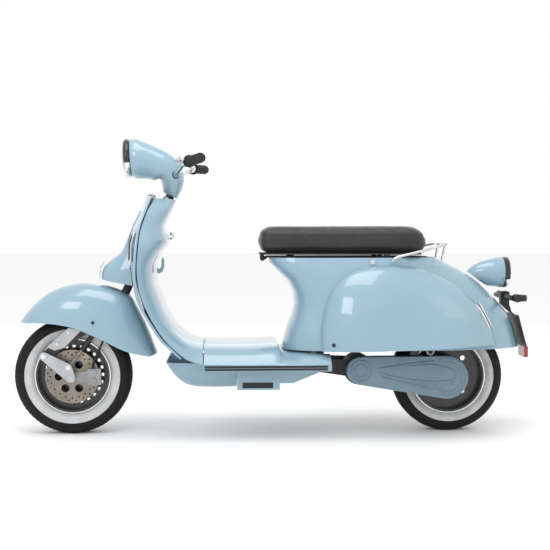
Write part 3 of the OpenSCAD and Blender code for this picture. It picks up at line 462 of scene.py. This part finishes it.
def swept(name, path, width, depth, outward, material, corners=12, taper=True):
    """A rounded strip that follows a path; width lies across it and depth along outward."""
    path = [Vector(p) for p in path]
    points, faces = [], []
    for k, spot in enumerate(path):
        along = (path[min(k + 1, len(path) - 1)] - path[max(k - 1, 0)]).normalized()
        out = (Vector(outward[k] if isinstance(outward, list) else outward))
        out = (out - along * out.dot(along)).normalized()
        across = along.cross(out)
        share = k / (len(path) - 1)
        size = min(1, math.sqrt(max(0.02, 1 - (2 * share - 1) ** 8))) if taper else 1
        for j in range(corners):
            angle = 2 * math.pi * j / corners
            c, q = math.cos(angle), math.sin(angle)
            points.append(spot + across * (width / 2 * size * math.copysign(abs(c) ** 0.6, c))
                          + out * (depth / 2 * size * math.copysign(abs(q) ** 0.6, q)))
    for k in range(len(path) - 1):
        faces += [(k * corners + j, k * corners + (j + 1) % corners,
                   (k + 1) * corners + (j + 1) % corners, (k + 1) * corners + j)
                  for j in range(corners)]
    faces += [tuple(range(corners)), tuple(range((len(path) - 1) * corners, len(path) * corners))]
    return mesh_piece(name, points, faces, material, 50)


# Slim signal lamps in plated bezels stand on the shield's front face and on the cowls. Each is
# a smoked bar held between two bright rails.
smoked_lens, tree, place = start_material("smoked_acrylic")
end_material(smoked_lens, add(tree, "ShaderNodeBsdfPrincipled", {
    "Base Color": tinted(tree, place, 30, "2A2C2F", "3A3C40"), "Roughness": 0.1, "Coat Weight": 0.7,
    "Normal": bumped(tree, place, 500, 0.1)}).outputs[0])
for side, label in ((-1, "left"), (1, "right")):
    heights = [598 + 12 * k for k in range(11)]
    path = [((shield_face(z, 190) - 8.5) / 1000, 0.191 * side, z / 1000) for z in heights]
    bezel = swept("shield_signal_bezel_" + label, path, 0.016, 0.011, (-0.55, 0.83 * side, 0), chromium)
    inner = [(x - 0.0035, y + 0.0040 * side, z) for x, y, z in path[1:-1]]
    lens = swept("shield_signal_lens_" + label, inner, 0.006, 0.006, (-0.55, 0.83 * side, 0), smoked_lens)
    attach(bezel, "chassis"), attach(lens, "chassis")
    bezel, lens
    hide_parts("side_signals")


def on_side(x, z, side, *names):
    """The outermost y at which a line across the machine meets the named nodes."""
    best = 0.0
    for name in names:
        hit, spot, _, _ = node[name].ray_cast(Vector((x, side * 1.0, z)), Vector((0, -side, 0)))
        if hit and abs(spot.y) > abs(best):
            best = spot.y
    return best


def cowl_line(side, shift, lift):
    """A slanting line down a cowl's skin, moved sideways by shift and standing off by lift."""
    path = []
    for k in range(9):
        x, z = 0.706 + 0.0058 * k + shift, 0.462 - 0.0112 * k + shift * 0.5
        path.append((x, on_side(x, z, side, "cowl_left", "cowl_right", "rear_body") + side * lift, z))
    return path


for side, label in ((-1, "left"), (1, "right")):
    facing = (0.35, side, 0.2)
    for number, shift in enumerate((-0.0055, 0.0055)):
        rail = swept("cowl_strip_%s_%d" % (label, number), cowl_line(side, shift, 0.002),
                     0.0075, 0.006, facing, chromium)
        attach(rail, "chassis")
    gap = swept("cowl_strip_inlay_" + label, cowl_line(side, 0, 0.001), 0.006, 0.004, facing, smoked_lens)
    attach(gap, "chassis")

# The leg shield's edge is rolled over a bead, which is painted with the panel.
for side, label in ((-1, "left"), (1, "right")):
    edge = [(-426, 825, 100), (-443, 775, 165), (-457, 730, 205), (-466, 672, 228), (-472, 587, 237),
            (-468, 512, 238), (-452, 461, 237), (-423, 408, 235), (-385, 349, 232), (-357, 321, 230),
            (-319, 284, 228)]
    path = [(x / 1000, side * (y + 0.5) / 1000, z / 1000) for x, z, y in smooth_line(edge, 6)]
    bead = swept("shield_bead_" + label, path, 0.009, 0.008, (0, side, 0), blue_enamel)
    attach(bead, "chassis")

# --- Lamp rims -------------------------------------------------------------------------------
# Each lamp sits in a spun brass rim. The headlamp's is painted black over its upper part and
# plated below; the tail lamp's is finished the same way.


def arc_ring(name, profile, place_at, start, stop, steps, material):
    """Part of a ring: a closed (radius, height) profile turned from one angle to another."""
    count = len(profile)
    points = []
    for k in range(steps + 1):
        angle = math.radians(start + (stop - start) * k / steps)
        points += [place_at @ Vector((r * math.cos(angle), r * math.sin(angle), h)) for r, h in profile]
    faces = [(k * count + j, k * count + (j + 1) % count, (k + 1) * count + (j + 1) % count,
              (k + 1) * count + j) for k in range(steps) for j in range(count)]
    faces += [tuple(range(count)), tuple(range(steps * count, (steps + 1) * count))]
    return mesh_piece(name, points, faces, material, 40)


head_frame = Matrix(((-0.0698, 0, -0.99756, -0.504), (0, 1, 0, 0), (0.99756, 0, -0.0698, 0.968),
                     (0, 0, 0, 1)))
tail_frame = Matrix(((0, 0, 1, 0.8224), (0, -1, 0, 0), (1, 0, 0, 0.565), (0, 0, 0, 1)))
head_rim = [(0.055, -0.003), (0.062, -0.0035), (0.0665, -0.001), (0.0685, 0.003), (0.069, 0.008),
            (0.068, 0.0125), (0.066, 0.016), (0.0635, 0.0182), (0.060, 0.019), (0.057, 0.0188),
            (0.0552, 0.0175)]
tail_rim = [(0.0462, 0.0), (0.0545, 0.0), (0.055, 0.003), (0.055, 0.015), (0.0538, 0.0185),
            (0.0515, 0.0198), (0.0485, 0.0198), (0.0465, 0.018)]
for name, profile, lamp_place, body, covered, turn in (
        ("headlamp_rim", head_rim, head_frame, "steering", "headlamp_ring", 105),
        ("tail_rim", tail_rim, tail_frame, "chassis", "tail_lamp_ring", 115)):
    dark = arc_ring(name + "_upper", profile, lamp_place, -turn, turn, 56, rim_black)
    bright = arc_ring(name + "_lower", profile, lamp_place, turn + 0.3, 359.7 - turn, 40, chromium)
    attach(dark, body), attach(bright, body)
    dark, bright
    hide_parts(covered)


# --- Drive cover ribs ------------------------------------------------------------------------
# The cover over the motor and belt is moulded with ribs that fan out from its front boss
# towards the axle, and with a raised boss and arcs round its two centres.
cover_ribs = []
for number, path in enumerate((
        [(355, 233), (420, 243), (500, 254), (556, 260)],
        [(356, 229), (440, 240), (541, 246), (600, 235), (640, 221)],
        [(358, 222), (386, 211), (470, 196), (543, 187), (600, 190), (637, 199)],
        [(372, 208), (392, 198), (470, 180), (552, 163)])):
    line = [(x / 1000, -0.1283, z / 1000) for x, z in smooth_line(path, 6)]
    cover_ribs.append(swept("cover_rib_%d" % number, line, 0.0075, 0.0062, (0, -1, 0), cover_blue))
for centre_x, centre_z, reach, first, last in ((299, 227, 36, 0, 360), (299, 227, 22, 0, 360),
                                               (600, 205, 52, -150, 105), (600, 205, 66, -120, 120),
                                               (600, 205, 30, -60, 60)):
    line = [((centre_x + reach * math.cos(math.radians(first + (last - first) * k / 40))) / 1000, -0.1283,
             (centre_z + reach * math.sin(math.radians(first + (last - first) * k / 40))) / 1000)
            for k in range(41)]
    cover_ribs.append(swept("cover_arc", line, 0.0050, 0.0050, (0, -1, 0), cover_blue,
                            taper=last - first < 360))
ribs = join_pieces("drive_cover_ribs", cover_ribs)
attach(ribs, "swing")

# --- Fastenings ------------------------------------------------------------------------------
# Small domed screws hold the fender and cowls, black on the paint and plated on the fork
# covers and links. The rims' polished lips and the black hatches low on the sides are
# pressed and clipped on last.


def screw_tree(material):
    """Geometry Nodes: a small domed head with a socket at every point of the mesh."""
    group = bpy.data.node_groups.new("screw_heads", "GeometryNodeTree")
    group.interface.new_socket("Points", in_out="INPUT", socket_type="NodeSocketGeometry")
    group.interface.new_socket("Radius", in_out="INPUT", socket_type="NodeSocketFloat")
    group.interface.new_socket("Height", in_out="INPUT", socket_type="NodeSocketFloat")
    group.interface.new_socket("Geometry", in_out="OUTPUT", socket_type="NodeSocketGeometry")
    given = add(group, "NodeGroupInput")
    lower = add(group, "GeometryNodeMeshCone", {"Vertices": 20, "Radius Top": given.outputs["Radius"],
                                                "Radius Bottom": given.outputs["Radius"],
                                                "Depth": given.outputs["Height"]})
    less = add(group, "ShaderNodeMath", {0: given.outputs["Radius"], 1: 0.55}, operation="MULTIPLY")
    upper = add(group, "GeometryNodeMeshCone", {"Vertices": 6, "Radius Top": less.outputs[0],
                                                "Radius Bottom": less.outputs[0],
                                                "Depth": given.outputs["Height"]})
    raised = add(group, "ShaderNodeCombineXYZ", {"Z": given.outputs["Height"]})
    lifted = add(group, "GeometryNodeTransform", {"Geometry": upper.outputs["Mesh"],
                                                  "Translation": raised.outputs[0]})
    head = add(group, "GeometryNodeJoinGeometry")
    group.links.new(lower.outputs["Mesh"], head.inputs[0])
    group.links.new(lifted.outputs[0], head.inputs[0])
    copies = add(group, "GeometryNodeInstanceOnPoints", {"Points": given.outputs["Points"],
                                                         "Instance": head.outputs[0],
                                                         "Rotation": (math.radians(90), 0, 0)})
    real = add(group, "GeometryNodeRealizeInstances", {"Geometry": copies.outputs[0]})
    done = add(group, "GeometryNodeSetMaterial", {"Geometry": real.outputs[0], "Material": material})
    out = add(group, "NodeGroupOutput")
    group.links.new(done.outputs[0], out.inputs["Geometry"])
    return group


def screws(name, spots, radius, height, group, material, body):
    """Screw heads at the given points, facing sideways, as one plain mesh."""
    holder_mesh = bpy.data.meshes.new(name + "_spots")
    holder_mesh.from_pydata(spots, [], [])
    holder = bpy.data.objects.new(name + "_spots", holder_mesh)
    scene.collection.objects.link(holder)
    maker = holder.modifiers.new("make", "NODES")
    maker.node_group = group
    for item in group.interface.items_tree:
        if item.in_out == "INPUT" and item.name in ("Radius", "Height"):
            maker[item.identifier] = radius if item.name == "Radius" else height
    bpy.context.view_layer.update()
    mesh = bpy.data.meshes.new_from_object(
        holder.evaluated_get(bpy.context.evaluated_depsgraph_get()))
    bpy.data.objects.remove(holder)
    mesh.name = name
    piece = bpy.data.objects.new(name, mesh)
    scene.collection.objects.link(piece)
    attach(piece, body)
    return piece


black_screw_tree, bright_screw_tree = screw_tree(grained_abs), screw_tree(chromium)
screws("fender_screws", [(-0.626, on_side(-0.626, 0.397, side, "front_fender"), 0.397) for side in (-1, 1)],
       0.0055, 0.003, black_screw_tree, grained_abs, "steering")
screws("cowl_screws", [(0.196, on_side(0.196, 0.326, side, "cowl_left", "cowl_right"), 0.326)
                       for side in (-1, 1)],
       0.0065, 0.003, black_screw_tree, grained_abs, "chassis")
screws("fork_cover_screws", [(x, side * 0.0885, z) for side in (-1, 1)
                             for x, z in ((-0.712, 0.362), (-0.752, 0.322))],
       0.0045, 0.002, bright_screw_tree, chromium, "steering")
screws("link_bolts", [(x, side * 0.0985, z) for side in (-1, 1)
                      for x, z in ((-0.712, 0.242), (-0.796, 0.281))],
       0.0085, 0.004, bright_screw_tree, chromium, "front_link_arm")
for end, body, axle in (("front", "front_wheel", Vector((-0.705, 0, 0.205))),
                        ("rear", "rear_wheel", Vector((0.622, 0, 0.197)))):
    lips = []
    for side in (-1, 1):
        lip = [(0.1285, 0.0372), (0.1290, 0.0386), (0.1310, 0.0390), (0.1330, 0.0386), (0.1335, 0.0372)]
        lips.append(mesh_piece(end + "_lip", *spun([(r, y * side) for r, y in lip], axle, 128), chromium))
    lip_ring = join_pieces(end + "_rim_lip", lips)
    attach(lip_ring, body)
for side, label in ((-1, "left"), (1, "right")):
    hatch = swept("cable_hatch_" + label, [(-0.114 + 0.0054 * k, side * 0.1470, 0.184) for k in range(21)],
                  0.026, 0.0035, (0, side, 0), grained_abs, taper=False)
    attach(hatch, "chassis")

# --- Lamps -----------------------------------------------------------------------------------
# The headlamp lens is clear polycarbonate with moulded flutes; the tail lamp and reflector
# are red acrylic with a fine prism pattern.
clear_lens, tree, place = start_material("fluted_clear_polycarbonate")
flutes = add(tree, "ShaderNodeTexWave", {"Vector": place, "Scale": 55.0, "Distortion": 0.0},
             wave_type="BANDS", bands_direction="Y")
relief = add(tree, "ShaderNodeBump", {"Height": flutes.outputs["Fac"], "Strength": 0.5,
                                      "Distance": 0.001})
end_material(clear_lens, add(tree, "ShaderNodeBsdfPrincipled", {
    "Base Color": hex_colour("E8EEF1"), "Roughness": 0.08, "Transmission Weight": 0.75,
    "IOR": 1.5, "Normal": relief.outputs[0]}).outputs[0])
finish("headlamp_lens", clear_lens)

red_acrylic, tree, place = start_material("red_prism_acrylic")
prisms = add(tree, "ShaderNodeTexVoronoi", {"Vector": place, "Scale": 320.0})
relief = add(tree, "ShaderNodeBump", {"Height": prisms.outputs["Distance"], "Strength": 0.6,
                                      "Distance": 0.0008})
end_material(red_acrylic, add(tree, "ShaderNodeBsdfPrincipled", {
    "Base Color": tinted(tree, place, 30, "7E1210", "961A16"), "Roughness": 0.12,
    "Coat Weight": 0.6, "Normal": relief.outputs[0]}).outputs[0])
finish("tail_lamp_lens rear_reflector", red_acrylic)

# --- Saddle ----------------------------------------------------------------------------------
# Moulded foam on a plastic pan under charcoal vinyl. The top panel is sewn to the side band
# along a sunken seam that runs right round below the top edge.
vinyl, tree, place = start_material("grained_charcoal_vinyl")
cells = add(tree, "ShaderNodeTexVoronoi", {"Vector": place, "Scale": 380.0})
creases = add(tree, "ShaderNodeTexNoise", {"Vector": place, "Scale": 90.0, "Detail": 4.0})
grain = add(tree, "ShaderNodeMath", {0: cells.outputs["Distance"], 1: creases.outputs["Fac"]})
relief = add(tree, "ShaderNodeBump", {"Height": grain.outputs[0], "Strength": 0.45,
                                      "Distance": 0.0006})
end_material(vinyl, add(tree, "ShaderNodeBsdfPrincipled", {
    "Base Color": tinted(tree, place, 12, "191919", "222223"),
    "Roughness": varied(tree, place, 50, 0.40, 0.52), "Sheen Weight": 0.15,
    "Normal": relief.outputs[0]}).outputs[0])

seat_sections = [(0, 60, 24, 64), (6, 86, 6, 80), (21, 98, 1, 88), (61, 106, 0, 91),
                 (211, 118, 0, 91), (411, 131, 0, 92), (540, 130, 0, 91), (582, 116, 2, 82),
                 (600, 94, 10, 64), (608, 66, 20, 48)]
rings = smooth_line(seat_sections, 5)
slim = 0.006
points, faces = [], []
for x, half_width, low, high in rings:
    middle, rise = 0.636 + (low + high) / 2000, (high - low) / 2000 - slim * 0.6
    for j in range(64):
        angle = 2 * math.pi * j / 64
        c, s = math.cos(angle), math.sin(angle)
        points.append((-0.061 + 0.006 + x / 1000 * (608 - 12) / 608,
                       (half_width / 1000 - slim) * math.copysign(abs(c) ** 0.5, c),
                       middle + rise * math.copysign(abs(s) ** 0.5, s)))
for i in range(len(rings) - 1):
    faces += [(i * 64 + j, i * 64 + (j + 1) % 64, (i + 1) * 64 + (j + 1) % 64, (i + 1) * 64 + j)
              for j in range(64)]
faces += [tuple(range(64)), tuple(range((len(rings) - 1) * 64, len(rings) * 64))]
saddle = mesh_piece("saddle_cover", points, faces, vinyl, 180)

remesh = saddle.modifiers.new("remesh", "REMESH")
remesh.mode = "VOXEL"
remesh.voxel_size = 0.006
bpy.context.view_layer.update()
saddle.data = bpy.data.meshes.new_from_object(
    saddle.evaluated_get(bpy.context.evaluated_depsgraph_get()))
saddle.modifiers.clear()
resting = [v.co.copy() for v in saddle.data.vertices]
cloth = saddle.modifiers.new("stuffing", "CLOTH")
cloth.settings.use_pressure = True
cloth.settings.uniform_pressure_force = 4
cloth.settings.effector_weights.gravity = 0
for step in range(1, 21):
    scene.frame_set(step)
swollen = saddle.evaluated_get(bpy.context.evaluated_depsgraph_get()).data
puffed = [v.co.copy() for v in swollen.vertices]
saddle.modifiers.clear()
scene.frame_set(1)
for vertex, old, new in zip(saddle.data.vertices, resting, puffed):
    step = new - old
    if step.length > 0.006:
        step *= 0.006 / step.length
    vertex.co = old + step
for vertex in saddle.data.vertices:
    x, y, z = vertex.co
    vertex.co.z = max(z, 0.6365)
    away = abs(z - 0.694)
    if away < 0.006 and abs(vertex.normal.z) < 0.7:
        vertex.co -= vertex.normal * 0.0022 * (1 - away / 0.006)
for face in saddle.data.polygons:
    face.use_smooth = True
saddle.data.materials.clear()
saddle.data.materials.append(vinyl)
smoother = saddle.modifiers.new("smooth", "SUBSURF")
smoother.levels = smoother.render_levels = 1
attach(saddle, "seat")
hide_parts("seat_cushion")
